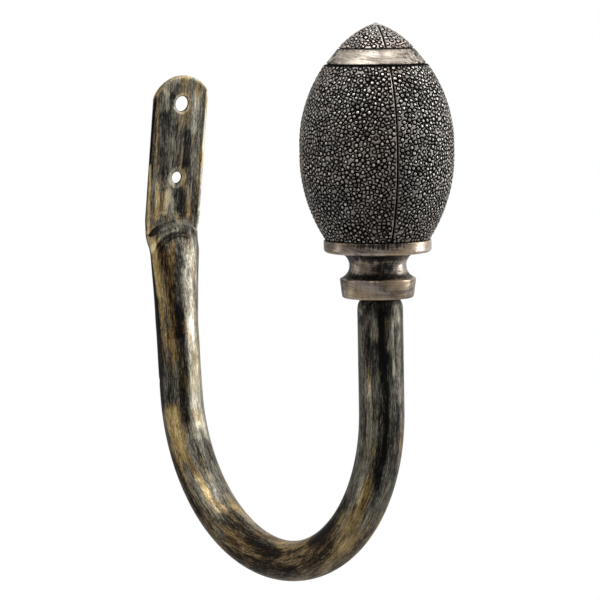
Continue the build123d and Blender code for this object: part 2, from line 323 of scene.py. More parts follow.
def first_leg_rings(start):
    for run in np.arange(1.0, FIRST_LENGTH, 1.0):
        tilt = FIRST_LEAN * float(smooth(0, ROUND_START, run))
        width = 2 * TUBE_RADIUS / cos(FIRST_LEAN - tilt)
        x, front_out, back_out, middle = leg_row(0.0, width, TUBE_RADIUS)
        lift = HEEL_LIFT * float(1 - smooth(4.0, 24.0, run))
        back_out = back_out + lift + summed([NOTCH], run)
        yield x, front_out + lift, back_out, middle, tilt, HEEL_BACK + DOWN_FIRST * run, start + run


def bend_rings(start):
    steps = 150
    for index in range(steps + 1):
        turn = index / steps * BEND_TURN
        strain = sin(pi * index / steps)
        tilt = FIRST_LEAN + turn
        back = BEND_CENTRE - np.array([cos(tilt), sin(tilt)]) * BEND_RADIUS
        half_depth = TUBE_RADIUS * (1 - BEND_SQUEEZE * strain)
        half = TUBE_RADIUS * (1 + BEND_SPREAD * strain)
        yield *leg_row(-half_depth, half_depth, half), tilt, back, start + turn * BEND_RADIUS


def second_leg_rings(start):
    """Rings of the leg under the finial, its rolled lip and the bore inside it."""
    ends = [(run, TUBE_RADIUS) for run in np.linspace(1.3, SECOND_LENGTH - LIP_LENGTH, 30)]
    for angle in np.radians(np.linspace(12, 90, 8)):
        inward = LIP_RADIUS * (1 - cos(angle))
        ends.append((SECOND_LENGTH - LIP_LENGTH * (1 - sin(angle)), TUBE_RADIUS - inward))
    ends.append((SECOND_LENGTH - TUBE_WALL, TUBE_RADIUS - LIP_RADIUS))
    for depth in (LIP_RADIUS, BORE_DEPTH):
        ends.append((SECOND_LENGTH - depth, TUBE_RADIUS - TUBE_WALL))
    tilt = FIRST_LEAN + BEND_TURN
    for run, radius in ends:
        yield *leg_row(-radius, radius, radius), tilt, BEND_END + UP_SECOND * run, start + run


def closed(front, back):
    """Values over a ring's front and then back under it."""
    return np.concatenate([front, back[-2:0:-1]])


def tube_rings():
    """Every ring of the tube: points, and each point's place on the tube made straight."""
    heel = PLATE_TOP - HEEL
    bend = heel + FIRST_LENGTH
    end = bend + BEND_TURN * BEND_RADIUS
    points = []
    places = []
    for ring in [*flat_rings(), *first_leg_rings(heel), *bend_rings(bend), *second_leg_rings(end)]:
        x, front_out, back_out, middle, tilt, back, along = ring
        outs = closed(front_out, back_out)
        xs = closed(x, x)
        points.append(np.stack([xs, -back[0] - cos(tilt) * outs, back[1] + sin(tilt) * outs], 1))
        places.append(np.stack([xs, outs - middle, along + 0 * xs], 1))
    return np.array(points), np.array(places)


def polar(radius, angle, height):
    """Points from distances to an axis, angles round it and heights."""
    sides = radius * np.cos(angle), radius * np.sin(angle)
    return np.stack(np.broadcast_arrays(*sides, height), -1)


def ring_quads(rows, columns):
    row, column = np.meshgrid(np.arange(rows - 1), np.arange(columns), indexing="ij")
    after = (column + 1) % columns
    corners = [row * columns + column, row * columns + after]
    corners += [(row + 1) * columns + after, (row + 1) * columns + column]
    return np.stack(corners, -1).reshape(-1, 4).tolist()


def new_object(name, points, faces, crease_angle=40.0):
    """Object from points in millimetres, with its faces turned outwards and shaded smooth."""
    mesh = bpy.data.meshes.new(name)
    mesh.from_pydata((np.asarray(points) * MM).tolist(), [], faces)
    work = bmesh.new()
    work.from_mesh(mesh)
    bmesh.ops.recalc_face_normals(work, faces=work.faces)
    work.to_mesh(mesh)
    work.free()
    mesh.shade_smooth()
    mesh.set_sharp_from_angle(angle=radians(crease_angle))
    made = bpy.data.objects.new(name, mesh)
    bpy.context.scene.collection.objects.link(made)
    return made


def store(piece, name, values, kind="FLOAT"):
    """Gives a piece's vertices a named value each."""
    layer = piece.data.attributes.new(name, kind, "POINT")
    field = "vector" if kind == "FLOAT_VECTOR" else "value"
    layer.data.foreach_set(field, np.asarray(values, dtype=np.float32).ravel())


def sink_cutter(height, diameter, sink_depth):
    """Screw hole with a shallow sink in front and a relief behind, as one turned cutter."""
    hole = diameter / 2
    edge = SINK_DIAMETER / 2
    land_front = PLATE_THICK - sink_depth
    land_back = land_front - HOLE_LAND
    widening = (edge - hole) / sink_depth
    profile = [
        (0, -CUT_SPARE),
        (hole + (land_back + CUT_SPARE) * RELIEF_SLOPE, -CUT_SPARE),
        (hole, land_back),
        (hole, land_front),
        (hole + HOLE_RIM, land_front + HOLE_RIM / widening),
        (edge + CUT_SPARE * widening, PLATE_THICK + CUT_SPARE),
        (0, PLATE_THICK + CUT_SPARE),
    ]
    columns = 96
    points, faces = turned(profile, columns)
    points = np.stack([points[:, 0], -points[:, 2], points[:, 1] + height], 1)
    return new_object("cutter", points, faces)


def turned(profile, columns):
    """Points and faces of a closed turned form whose profile starts and ends on the axis."""
    inner = np.array(profile[1:-1])
    turn = np.linspace(0, 2 * pi, columns, endpoint=False)
    return closed_rings(polar(inner[:, :1], turn, inner[:, 1:]), profile[0][1], profile[-1][1])


def closed_rings(rings, foot, head):
    """Points and faces of rings closed by a point on the axis at each end."""
    rows, columns = rings.shape[:2]
    points = np.concatenate([rings.reshape(-1, 3), [(0, 0, foot)], [(0, 0, head)]])
    faces = ring_quads(rows, columns)
    total = rows * columns
    last = total - columns
    for column in range(columns):
        after = (column + 1) % columns
        faces.append((total, after, column))
        faces.append((total + 1, last + column, last + after))
    return points, faces


def cut(target, cutters):
    """Takes the cutters out of the target and deletes them."""
    for cutter in cutters:
        change = target.modifiers.new("cut", "BOOLEAN")
        change.operation = "DIFFERENCE"
        change.solver = "EXACT"
        change.object = cutter
    graph = bpy.context.evaluated_depsgraph_get()
    result = bpy.data.meshes.new_from_object(target.evaluated_get(graph))
    target.modifiers.clear()
    old = target.data
    target.data = result
    bpy.data.meshes.remove(old)
    for cutter in cutters:
        bpy.data.meshes.remove(cutter.data)


def tube_piece():
    points, places = tube_rings()
    rows, columns = points.shape[:2]
    faces = ring_quads(rows, columns)
    for column in range(ACROSS):
        behind = columns - column
        faces.append((column, column + 1, behind - 1, behind % columns))
    faces = [tuple(dict.fromkeys(face)) for face in faces]
    faces.append(tuple(range((rows - 1) * columns, rows * columns)))
    tube = new_object("tube", points.reshape(-1, 3), faces)
    cut(tube, [sink_cutter(*hole) for hole in HOLES])
    tube.data.shade_smooth()
    tube.data.set_sharp_from_angle(angle=radians(38.0))
    give_places(tube, points.reshape(-1, 3), places.reshape(-1, 3))
    return tube


# Where brass was rubbed on by hand (positive) or the paint left dark (negative), and painted
# highlights (positive), painted shade and painted dark reflections (negative). Each stroke has its half
# width in mm, its amount and warmth in percent, and points as an angle around the tube, counted from +x
# over the inner side, and a length along it from the plate's top.
STROKES_AND_PAINTED_LIGHT = (
    # Painted highlight: the bright band down the lit front of the first leg, this row and the next
    # four.
    (2, 9, -50, (76, 67), (80, 76), (84, 86), (88, 95), (90, 103)),
    (1.8, 10, -50, (92, 74), (92, 84), (90, 95)),
    (1.6, 14, 10, (86, 92), (87, 101), (88, 113), (89, 125), (90, 134)),
    (1.4, 15, -40, (72, 77), (73, 88), (73, 100)),
    (1.2, 11, -60, (70, 104), (70, 140)),
    # Painted dark reflection: the dark band beside the lit band, this row and the next.
    (1.9, -8, -50, (94, 65), (104, 76), (112, 84)),
    (1.9, -15, -20, (115, 88), (120, 98), (116, 109), (118, 120), (121, 132)),
    (1.8, 11, 100, (162, 62), (162, 70), (163, 80)),
    (1.7, -13, 100, (134, 64), (131, 74), (128, 84), (123, 98)),
    # Painted shade along the first leg's shadowed left edge.
    (1.6, -15, 0, (-170, 64), (-171, 84), (-174, 96)),
    # Painted highlight: the lower part of that lit band.
    (1.3, 13, 10, (96, 118), (97, 130), (99, 140)),
    (1.2, -7, -50, (78, 138), (82, 150)),
    # Painted highlight: the lit band's grey outer side toward the leg's right edge.
    (2.2, 9, -60, (55, 64), (57, 90), (60, 114), (62, 140)),
    # Painted shade along the first leg's shadowed left edge.
    (2, -20, 0, (-170, 84), (-158, 101), (-150, 116)),
    (3.4, -5, 0, (152, 96), (158, 112), (165, 121)),
    (2, -10, -20, (150, 121), (165, 124)),
    (3, 11, 90, (160, 129), (163, 136), (166, 145)),
    (2, 8, 0, (142, 160), (136, 174)),
    (2.4, 8, 30, (145, 130), (138, 141), (135, 152), (132, 164), (130, 174)),
    # Painted highlight: the lit band's end, and its bright spot on the bend in the next row.
    (1.6, 5, -80, (88, 136), (90, 143), (92, 148)),
    (1.2, 12, 10, (100, 158), (104, 165), (112, 172), (116, 178)),
    (3, -2, -90, (72, 147), (82, 159), (78, 169)),
    # Painted shade along the shadowed left edge near the bend.
    (2.4, -13, 0, (-170, 147), (-170, 157), (-175, 168)),
    (1.8, 10, 20, (85, 171), (80, 180), (70, 187)),
    (3.2, -12, 0, (112, 182), (125, 200), (150, 218)),
    (2.4, -5, 40, (135, 200), (145, 214), (155, 226)),
    (1.2, 6, 60, (170, 238), (-168, 248)),
    (3.6, -9, 20, (-175, 195), (-165, 215), (-150, 226)),
    (2.2, 11, 100, (-112, 239), (-122, 248), (-130, 256)),
    (3, 11, 90, (-124, 257), (-134, 264), (-140, 272), (-146, 280)),
    (1.2, 12, 30, (-150, 255), (-158, 264), (-165, 272)),
    (2.6, -18, -30, (150, 245), (155, 258), (165, 270)),
    (1.6, 6, 20, (165, 311), (165, 300), (172, 291), (178, 281)),
    (1.3, 15, 10, (-165, 317), (-162, 308), (-160, 300), (-165, 291), (-162, 284), (-155, 276)),
    # Painted dark reflection: the dark band down the middle of the second leg.
    (1.9, -10, -20, (-122, 340), (-122, 322), (-123, 308), (-122, 298), (-124, 284)),
    (1.4, 9, 50, (-141, 344), (-141, 334)),
    (1.8, 9, 90, (-140, 284), (-138, 270)),
    (0.8, -10, 90, (-112, 316), (-115, 302), (-118, 292)),
    (1.4, 2, -100, (-98, 322), (-100, 312), (-102, 302)),
    (1.4, 10, -50, (-80, 334), (-79, 320), (-78, 312)),
    (2, -6, 0, (-88, 306), (-88, 288)),
    (1.8, 3, 0, (-76, 296), (-74, 284), (-78, 270)),
    (2, 8, -20, (-96, 290), (-100, 276), (-104, 264)),
    (1.6, 7, 50, (-146, 302), (-146, 288)),
    (1.5, 9, -100, (-88, 343), (-84, 340)),
    (2.4, 15, 0, (-154, 339), (-146, 336)),
    (1.2, 14, 100, (-114, 339), (-112, 334), (-110, 330)),
    (0.8, 26, -10, (-97, 339), (-98, 333), (-97, 327), (-94, 320)),
    (7, -10, -40, (-130, 330), (-130, 346)),
    (14, -6, -70, (-130, 290), (-130, 346)),
    (16, -5, 70, (-160, 195), (-150, 240)),
    (4, 3, 50, (160, 62), (160, 84)),
    # Painted shade along the first leg's shadowed left edge.
    (2.5, -20, 0, (-166, 74), (-170, 86), (-166, 104), (-162, 124)),
    (2.2, 8, -40, (148, 104), (150, 120)),
    (30, -3, -15, (90, -10), (90, 36)),
    (20, 1, 20, (120, 70), (120, 112)),
    # Painted shade along the plate's shadowed left edge.
    (1, -30, 0, (172, 6), (175, 20), (176, 32)),
    (0.7, 6, 50, (152, 12), (150, 20), (148, 27), (148, 34)),
    (0.7, 13, 50, (136, 5), (126, 6), (123, 12)),
    # Painted highlight along the plate's lit right edge.
    (1.4, 34, -30, (21, 8), (20, 16), (20, 27)),
    (1.6, -11, -50, (130, 15), (132, 20), (130, 29), (120, 37)),
    (1.3, 3, -70, (112, 22), (112, 28), (110, 36)),
    (1.6, -10, -30, (112, 9), (108, 20)),
    (1, -6, 0, (84, 20), (84, 34)),
    (0.4, 14, 0, (82, 24), (82, 29), (84, 34)),
    (1.1, -18, -30, (72, 22), (74, 29), (71, 33)),
    (2.4, 2, -40, (58, 12), (56, 24), (50, 36)),
    (1.6, 11, -50, (60, 8), (58, 20)),
    # Painted highlight along the plate's lit right edge, and beside it in the next row.
    (1.4, 34, -30, (20, 26), (20, 40), (20, 50), (18, 58)),
    (1.8, 2, -20, (42, 36), (40, 55)),
    (1.1, 24, 100, (172, 34), (168, 42), (165, 50), (165, 58)),
    (1.1, 16, 50, (140, 41), (132, 47), (132, 53)),
    (1, 17, 20, (106, 44), (114, 51)),
    (0.9, 9, 30, (98, 47), (92, 51), (84, 55)),
    (1.1, 13, 70, (68, 43), (60, 52)),
    (1.2, -9, -30, (46, 42), (42, 53)),
    (1.3, -15, -40, (74, 44), (70, 52)),
    (1.2, -12, -20, (87, 42), (84, 50)),
    (1, -16, -90, (102, 4), (110, 7)),
)


def stroke_and_painted_light_fields(angle, along):
    """Rubbed amount and warmth at places on the tube, painted highlights and painted shade included."""
    amount = np.zeros_like(angle)
    warmth = np.zeros_like(angle)
    arc = radians(1) * TUBE_RADIUS
    for half, strength, warm, *path in STROKES_AND_PAINTED_LIGHT:
        nearest = np.full_like(angle, 1e3)
        for (angle_a, along_a), (angle_b, along_b) in zip(path, path[1:]):
            side = ((angle - angle_a + 180) % 360 - 180) * arc
            ahead = along - along_a
            run_side = ((angle_b - angle_a + 180) % 360 - 180) * arc
            run_ahead = along_b - along_a
            span = run_side**2 + run_ahead**2
            share = np.clip((side * run_side + ahead * run_ahead) / span, 0, 1)
            away = np.hypot(side - share * run_side, (ahead - share * run_ahead) * 0.6)
            nearest = np.minimum(nearest, away)
        weight = 1 - smooth(0.45 * half, 1.35 * half, nearest)
        amount += 0.01 * strength * weight
        warmth += 0.01 * warm * weight
    return amount, np.clip(warmth, -1, 1)


def edge_wear_and_painted_light(where, front):
    """Extra rubbing and warmth on the plate's arched edge, round its holes and on the shoulder, with
    painted highlight and painted shade among them.
    """
    x, z = where[:, 0], where[:, 2]
    arch = PLATE_ARC - np.hypot(x - ARC_SHIFT, z - (PLATE_TOP - PLATE_ARC))
    upper = z > PLATE_TOP - PLATE_ARC
    # Rubbed arched edge, brighter toward the lit right as painted highlight and dimmer toward the left
    # as painted shade.
    rub_and_painted_light = 0.2 * bump(0.2, 0.9, arch) * upper * (0.1 + 0.9 * smooth(-9.0, 4.0, x))
    for height, diameter, _ in HOLES:
        past_hole = np.hypot(x, z - height) - diameter / 2
        past_sink = np.hypot(x, z - height) - SINK_DIAMETER / 2
        ring = smooth(0.1, HOLE_RIM, past_hole) * smooth(0.35, 0.0, past_sink)
        # Bare brass ring in each sink; the hole's wall is painted dark as painted shade.
        rub_and_painted_light += 0.16 * ring * front - 0.5 * (past_hole < 0.05)
    marks, cool = shoulder_wear_and_painted_light(x, inside_arch(x, z))
    pressed = front * (z > PRESS_TOP - PRESS_RADIUS)
    return rub_and_painted_light + marks * pressed, cool * pressed


def shoulder_wear_and_painted_light(x, inside):
    """Rubbing, painted shade, painted highlight and a painted cool sheen on the pressed wall, by the
    distance inside its arch.
    """
    creased = crease_span(x)
    rightward = smooth(1.0, 3.0, x)
    leftward = smooth(-6.4, -9.2, x)
    width = crevice_width(x)
    crevice = bump(width, 1.1 * width, inside) * smooth(0.1, 0.4, width) * (inside > -0.2)
    marks = summed(RUBBED_RIDGE, inside) * creased * smooth(2.0, -1.0, x)
    # Painted shade in the creases and in the crevice under the arch, deeper toward the shaded left.
    marks += summed(CREASE_SHADE, inside) * creased - (0.14 + 0.5 * leftward) * crevice
    # Painted highlight on the lit right branch, with painted shade below it.
    marks += summed(RIGHT_HIGHLIGHT_AND_SHADE, inside) * rightward
    # Painted highlight on the left of the wall.
    marks += summed(LEFT_HIGHLIGHT, inside) * smooth(-7.0, -9.0, x)
    # Painted cool sheen along the arch's crest, strongest on the lit right branch.
    cool = -0.9 * rightward * bump(1.2, 1.6, inside) - 0.4 * bump(1.0, 1.0, inside)
    # Darker and cooler across the creased band.
    crease_band = bump(3.6, 2.4, inside) * creased
    return marks - 0.05 * crease_band, cool - 0.8 * crease_band


def give_places(tube, points, places):
    """Stores each vertex's place on the straightened tube, and how much brass was rubbed there, painted
    highlights and painted shade included.
    """
    tree = kdtree.KDTree(len(points))
    for index, point in enumerate(points):
        tree.insert(point * MM, index)
    tree.balance()
    corners = [vertex.co for vertex in tube.data.vertices]
    found = np.array([tree.find(corner)[1] for corner in corners])
    straight = places[found]
    where = np.array(corners) / MM
    on_plate = where[:, 2] > SHOULDER_TOP + SHOULDER_BLEND
    flat = where * (1, -1, -1) + (0, -PLATE_THICK / 2, PLATE_TOP)
    straight[on_plate] = flat[on_plate]
    columns = 2 * ACROSS
    angle = 180 - 360 * (found % columns) / columns
    amount, warmth = stroke_and_painted_light_fields(angle, straight[:, 2])
    store(tube, "place", straight, "FLOAT_VECTOR")
    worn_and_painted_light, cooled = edge_wear_and_painted_light(where, angle > 0)
    store(tube, "rub_and_painted_light", amount + worn_and_painted_light)
    store(tube, "warmth", warmth + cooled)


def egg_meridian(count):
    """Radius, height and outward normal at even steps along the two arcs of the egg's side."""
    arcs = []
    for end in (EGG_BASE, EGG_TOP):
        inward = EGG_WIDEST[0] - end[0]
        rise = abs(end[1] - EGG_WIDEST[1])
        radius = (inward**2 + rise**2) / (2 * inward)
        arcs.append((radius, radius * asin(rise / radius)))
    rows = []
    for step in np.linspace(-arcs[0][1], arcs[1][1], count):
        radius, length = arcs[0] if step < 0 else arcs[1]
        share = abs(step) / length
        fuller = EGG_FULLNESS * 4 * share * (1 - share)
        out, up = cos(step / radius), sin(step / radius)
        beside = EGG_WIDEST[0] - radius + radius * out + fuller
        rows.append((beside, EGG_WIDEST[1] + radius * up, out, up))
    return np.array(rows)


def tip_meridian(count):
    """Radius, height and normal from the tip's foot to its rounded end."""
    chord = hypot(TIP_BASE[0], TIP_HEIGHT - TIP_BASE[1])
    back = (TIP_CROWN**2 - chord**2 / 4) ** 0.5 / chord
    centre = (
        TIP_BASE[0] / 2 - (TIP_HEIGHT - TIP_BASE[1]) * back,
        (TIP_BASE[1] + TIP_HEIGHT) / 2 - TIP_BASE[0] * back,
    )
    rows = []
    for radius in np.linspace(TIP_BASE[0], TIP_END_RADIUS, count):
        out = radius - centre[0]
        up = (TIP_CROWN**2 - out**2) ** 0.5
        rows.append((radius, centre[1] + up, out / TIP_CROWN, up / TIP_CROWN))
    apex = rows[-1][1] + TIP_END_RISE
    for share in (0.75, 0.5, 0.25):
        height = apex - TIP_END_RISE * share**2
        rows.append((TIP_END_RADIUS * share, height, share * rows[count - 1][2], 1.0))
    return np.array(rows), apex


def pebble_centres(rows, turns, clear, seed):
    """Pebbles thrown at random over a surface until none fits, then pushed apart evenly."""
    random = np.random.default_rng(seed)
    weights = rows[:, 0] / rows[:, 0].sum()
    tries = 20000
    picks = random.choice(len(rows), tries, p=weights)
    angles = turns[0] + random.random(tries) * (turns[1] - turns[0])
    radii, heights = rows[picks, 0], rows[picks, 1]
    allowed = clear(radii, heights, angles)
    thrown = polar(radii, angles, heights)[allowed]
    kept = np.empty((len(thrown), 3))
    count = 0
    for point in thrown:
        if count and np.min(np.sum((kept[:count] - point) ** 2, 1)) < PEBBLE_SPACING**2:
            continue
        kept[count] = point
        count += 1
    return spread(kept[:count], rows, clear), random.uniform(0.88, 1.1, count)


def spread(centres, rows, clear):
    """Pushes neighbouring pebbles apart along the surface for a few steps."""
    order = np.argsort(rows[:, 1])
    for _ in range(SPREAD_STEPS):
        apart = centres[:, None] - centres[None]
        gap = np.linalg.norm(apart, axis=2) + np.eye(len(centres)) * 1e3
        push = np.clip(PEBBLE_REACH - gap, 0, None) * SPREAD_PUSH
        moved = centres + np.sum(apart / gap[..., None] * push[..., None], 1)
        height = moved[:, 2]
        angle = np.arctan2(moved[:, 1], moved[:, 0])
        radius = np.interp(height, rows[order, 1], rows[order, 0])
        moved = polar(radius, angle, height)
        centres = np.where(clear(radius, height, angle)[:, None], moved, centres)
    return centres


def pebble_relief(points, centres, factors, seed):
    """Height of the pebbled skin at each point, and how bare its high spots are rubbed."""
    random = np.random.default_rng(seed)
    dimpled = random.random(len(centres)) < DIMPLED_SHARE
    rubs = random.uniform(0.76, 1.06, len(centres))
    height = np.zeros(points.shape[:2])
    relief = np.zeros(points.shape[:2])
    reach = 2.6
    for index, row in enumerate(points):
        near = np.abs(centres[:, 2] - row[:, 2].mean()) < reach
        if not near.any():
            relief[index] = 0.8
            continue
        away = np.linalg.norm(row[:, None] - centres[near][None], axis=2) / factors[near]
        closest = np.argmin(away, 1)
        gap = away[np.arange(len(row)), closest]
        hollow = dimpled[near][closest]
        dome = np.sqrt(np.clip(1 - (gap / PEBBLE_RADIUS) ** 2, 0, 1))
        dome_height = -MOAT_DEPTH + (MOAT_DEPTH + DOME_TOP) * dome
        dome_height -= hollow * DIMPLE_DEPTH * bump(0, DIMPLE_WIDTH, gap)
        web = smooth(MOAT_END, WEB_START, gap)
        inside = gap < PEBBLE_RADIUS
        height[index] = np.where(inside, dome_height, -MOAT_DEPTH * (1 - web))
        dome_tone = smooth(0.42, 0.93, dome) * rubs[near][closest] - hollow * 0.5 * bump(0, 0.18, gap)
        relief[index] = np.where(inside, dome_tone, WEB_TONE * web)
    return height, relief


def seam_distance(radius, turn):
    """Distance to the nearest seam's plane, and the side of it."""
    step = 2 * pi / SEAM_COUNT
    offset = (turn - SEAM_DIRECTION + step / 2) % step - step / 2
    return np.abs(radius * np.sin(offset)), np.sign(offset)


def seam_relief(radius, turn, height, relief, bead=1.0):
    """Cuts the seam's groove and raises the bead along one side of it."""
    away, side = seam_distance(radius, turn)
    groove = 1 - smooth(0.10, SEAM_HALF, away)
    lip = bead * bump(0.46, 0.11, away) * (0.35 + 0.65 * (side < 0))
    pebbled = smooth(0.5, RIM_CLEAR, away)
    height = height * pebbled + 0.10 * lip * (side < 0) - SEAM_DEPTH * groove
    return height, (blend(pebbled, 0.35, relief) + 0.8 * lip) * (1 - groove)


def finial_matrix():
    """From the finial's own axes, with its foot at the origin, to the row frame."""
    up = Vector((0, sin(SECOND_LEAN), cos(SECOND_LEAN)))
    side = Vector((1, 0, 0))
    turn = Matrix((side, up.cross(side), up)).transposed()
    seated = Matrix.Rotation(-SEAT_TILT, 3, CAMERA_BACK) @ turn
    return np.array(seated), np.array([0, -TUBE_END[0], TUBE_END[1]]) + SEAT_OFFSET


def on_finial(points):
    turn, foot = finial_matrix()
    return np.asarray(points) @ turn.T + foot


def surface(rows, turns):
    """Grid of points and normals from a meridian and a run of angles."""
    radius, height, normal_out, normal_up = (rows[:, index, None] for index in range(4))
    return polar(radius, turns, height), polar(normal_out, turns, normal_up)


def egg_edge(height):
    """Distance to the egg's nearer end."""
    return np.minimum(height - EGG_BASE[1], EGG_TOP[1] - height)


def pebbled_surface(rows, turns, span, clear, seeds):
    """Points and normals of a surface, and the height and rubbing of its pebbles."""
    points, normals = surface(rows, turns)
    centres, factors = pebble_centres(rows, span, clear, seeds[0])
    return points, normals, *pebble_relief(points, centres, factors, seeds[1])


def egg_panel(index):
    """One of the egg's panels between two seams, closed on its inner side."""
    step = 2 * pi / SEAM_COUNT
    start = SEAM_DIRECTION + index * step
    slack = SEAM_GAP / EGG_WIDEST[0]
    turns = np.linspace(start + slack, start + step - slack, EGG_COLUMNS)
    rows = egg_meridian(EGG_ROWS)

    def clear(radius, height, turn):
        return (seam_distance(radius, turn)[0] > SEAM_CLEAR) & (egg_edge(height) > RIM_CLEAR)

    skin = pebbled_surface(rows, turns, (start, start + step), clear, (40 + index, 60 + index))
    points, normals, height, relief = skin
    edge = egg_edge(rows[:, 1:2])
    height = height * smooth(0.0, 0.5, edge)
    height, relief = seam_relief(rows[:, :1], turns, height, relief, smooth(0.6, 3.5, edge))
    rings = panel_rings(points + normals * height[..., None], rows, turns)
    count = rings.shape[1]
    faces = ring_quads(len(rings), count)
    faces.append(tuple(range(count)))
    faces.append(tuple(range((len(rings) - 1) * count, len(rings) * count)))
    panel = new_object(f"egg_panel_{index}", on_finial(rings.reshape(-1, 3)), faces, PANEL_CREASE)
    store(panel, "relief", np.pad(relief * smooth(0.0, 0.45, edge), ((0, 1), (0, 2))))
    return panel


def panel_rings(outer, rows, turns):
    """Rings of a panel's skin closed on its inner side, with a narrower crown on top."""
    inner_rows = rows.copy()
    inner_rows[:, 0] -= PANEL_DEPTH
    inner = surface(inner_rows, turns[[-1, 0]])[0]
    rings = np.concatenate([outer, inner], 1)
    crown = rings[-1:].copy()
    crown[..., :2] *= (EGG_TOP[0] - CREVICE - 0.6) / EGG_TOP[0]
    crown[..., 2] = (EGG_TOP[1] + BAND_BOTTOM[1]) / 2
    return np.concatenate([rings, crown])


def tip_piece():
    """Pebbled tip with the seams running up to its end."""
    count = 92
    columns = 420
    rows, apex = tip_meridian(count)
    turns = np.linspace(0, 2 * pi, columns, endpoint=False)

    def clear(radius, height, turn):
        off_seam = (seam_distance(radius, turn)[0] > TIP_SEAM_CLEAR) | (radius < SEAM_STOP)
        return off_seam & (TIP_BASE[0] - radius > RIM_CLEAR)

    skin = pebbled_surface(rows, turns, (0, 2 * pi), clear, (31, 32))
    points, normals, height, relief = skin
    height, relief = tip_relief(rows[:, :1], turns, height, relief)
    outer = points + normals * height[..., None]
    floor = (BAND_TOP[1] + TIP_BASE[1]) / 2
    under = polar(TIP_BASE[0] - CREVICE, turns, floor)
    points, faces = closed_rings(np.concatenate([under[None], outer]), floor, apex)
    tip = new_object("tip", on_finial(points), faces, PANEL_CREASE)
    store(tip, "relief", np.concatenate([np.zeros(columns), relief.ravel(), [0.0, 0.9]]))
    return tip


def tip_relief(radius, turns, height, relief):
    """Fades the pebbles out at the tip's foot and end, and stops the seams short of its end."""
    foot = TIP_BASE[0] - radius
    height = height * smooth(0.0, 0.5, foot)
    seamed_height, seamed_relief = seam_relief(radius, turns, height, relief)
    reach = smooth(SEAM_STOP - 0.6, SEAM_STOP, radius)
    crest = smooth(1.9, 1.2, radius)
    relief = blend(reach, relief, seamed_relief) * blend(smooth(0.0, 0.4, foot), 0.5, 1.0)
    return blend(reach, height, seamed_height) * (1 - crest), blend(crest, relief, 0.8)


def rounded(corners, radii, steps=6):
    """Polyline with the corners that have a radius turned into arcs."""
    line = []
    for index, corner in enumerate(corners):
        radius = radii.get(index)
        if not radius:
            line.append(corner)
            continue
        here = Vector(corner)
        back = (Vector(corners[index - 1]) - here).normalized()
        ahead = (Vector(corners[index + 1]) - here).normalized()
        half = back.angle(ahead) / 2
        centre = here + (back + ahead).normalized() * (radius / sin(half))
        start = here + back * (radius / tan(half)) - centre
        end = here + ahead * (radius / tan(half)) - centre
        for step in range(steps + 1):
            toward = start.lerp(end, step / steps).normalized() * radius
            line.append(tuple(centre + toward))
    return line


def base_piece():
    """Collar, cove and flange, turned in one, with the bore for the stud."""
    collar = rounded([(BORE_RADIUS, 0), (12.5, 0), (13.3, 6.6), COLLAR_TOP], {1: 0.9, 2: 0.4})
    cove = three_point_arc(COLLAR_TOP, COVE_WAIST, COVE_TOP, 18)[1:]
    top = EGG_BASE[1]
    edge = [COVE_TOP, (FLANGE_RADIUS, 16.0), (FLANGE_RADIUS, top), (17.3, top)]
    flange = rounded(edge, {1: 1.3, 2: 0.4})[1:]
    outline = [(0, BORE_TOP), (BORE_RADIUS, BORE_TOP)] + collar + cove + flange + [(0, top)]
    return turned_piece("collar_and_flange", outline, base_patina_and_painted_light)


def turned_piece(name, outline, patina_and_painted_light):
    """Turned part of the finial, with its patina and painted light stored."""
    points, faces = turned(subdivided(outline, LONGEST), TURNED_COLUMNS)
    piece = new_object(name, on_finial(points), faces)
    store(piece, "patina_and_painted_light", patina_and_painted_light(points))
    return piece


def around(points, marks):
    """Sum of marks around the finial's axis."""
    turn = np.degrees(np.arctan2(points[:, 1], points[:, 0]))
    return sum(high * bump(0.0, half, (turn - side + 180) % 360 - 180) for side, high, half in marks)


def base_patina_and_painted_light(points):
    """Dark patina in the base's hollows and stains, bare metal along its edges, and painted shade, a
    painted dark reflection and painted highlights on its sides.
    """
    radius = np.hypot(points[:, 0], points[:, 1])
    height = points[:, 2]
    patina_and_painted_light = 0.9 * bump(7.9, 0.9, height) * (radius < 12.7)
    patina_and_painted_light += 0.8 * bump(14.6, 1.2, height) * (radius < 13.5)
    patina_and_painted_light += 0.22 * bump(11.0, 3.0, height) * (radius < 12.5)
    # Sides: painted shade on the collar's and neck's left edges, a painted dark reflection and
    # highlight on the neck, a painted highlight on the flange, and the flange's stain.
    patina_and_painted_light += around(points, COLLAR_SIDES) * (height < 6.9)
    patina_and_painted_light += around(points, NECK_PAINTED_LIGHT) * bump(11.0, 2.6, height) * (radius < 12.0)
    patina_and_painted_light += around(points, FLANGE_HIGHLIGHT) * (radius > 17.0)
    patina_and_painted_light += around(points, FLANGE_STAIN) * smooth(17.4, 19.8, height) * (radius > 17.0)
    rim = bump(6.75, 0.3, height) * (radius > 12.4) + bump(16.5, 0.5, height) * (radius > 17.5)
    rim += 0.6 * bump(0.6, 0.4, height) * (radius > 11.0)
    return patina_and_painted_light - 0.35 * rim


def three_point_arc(start, middle, end, steps):
    """Points along the circle through three points."""
    start, middle, end = np.array([start, middle, end])
    squares = [middle @ middle - start @ start, end @ end - start @ start]
    centre = np.linalg.solve(2 * np.array([middle - start, end - start]), squares)
    radius = np.linalg.norm(start - centre)
    first, last = (np.arctan2(*(point - centre)[::-1]) % (2 * pi) for point in (start, end))
    angles = np.linspace(first, last, steps + 1)
    return [(centre[0] + radius * cos(a), centre[1] + radius * sin(a)) for a in angles]


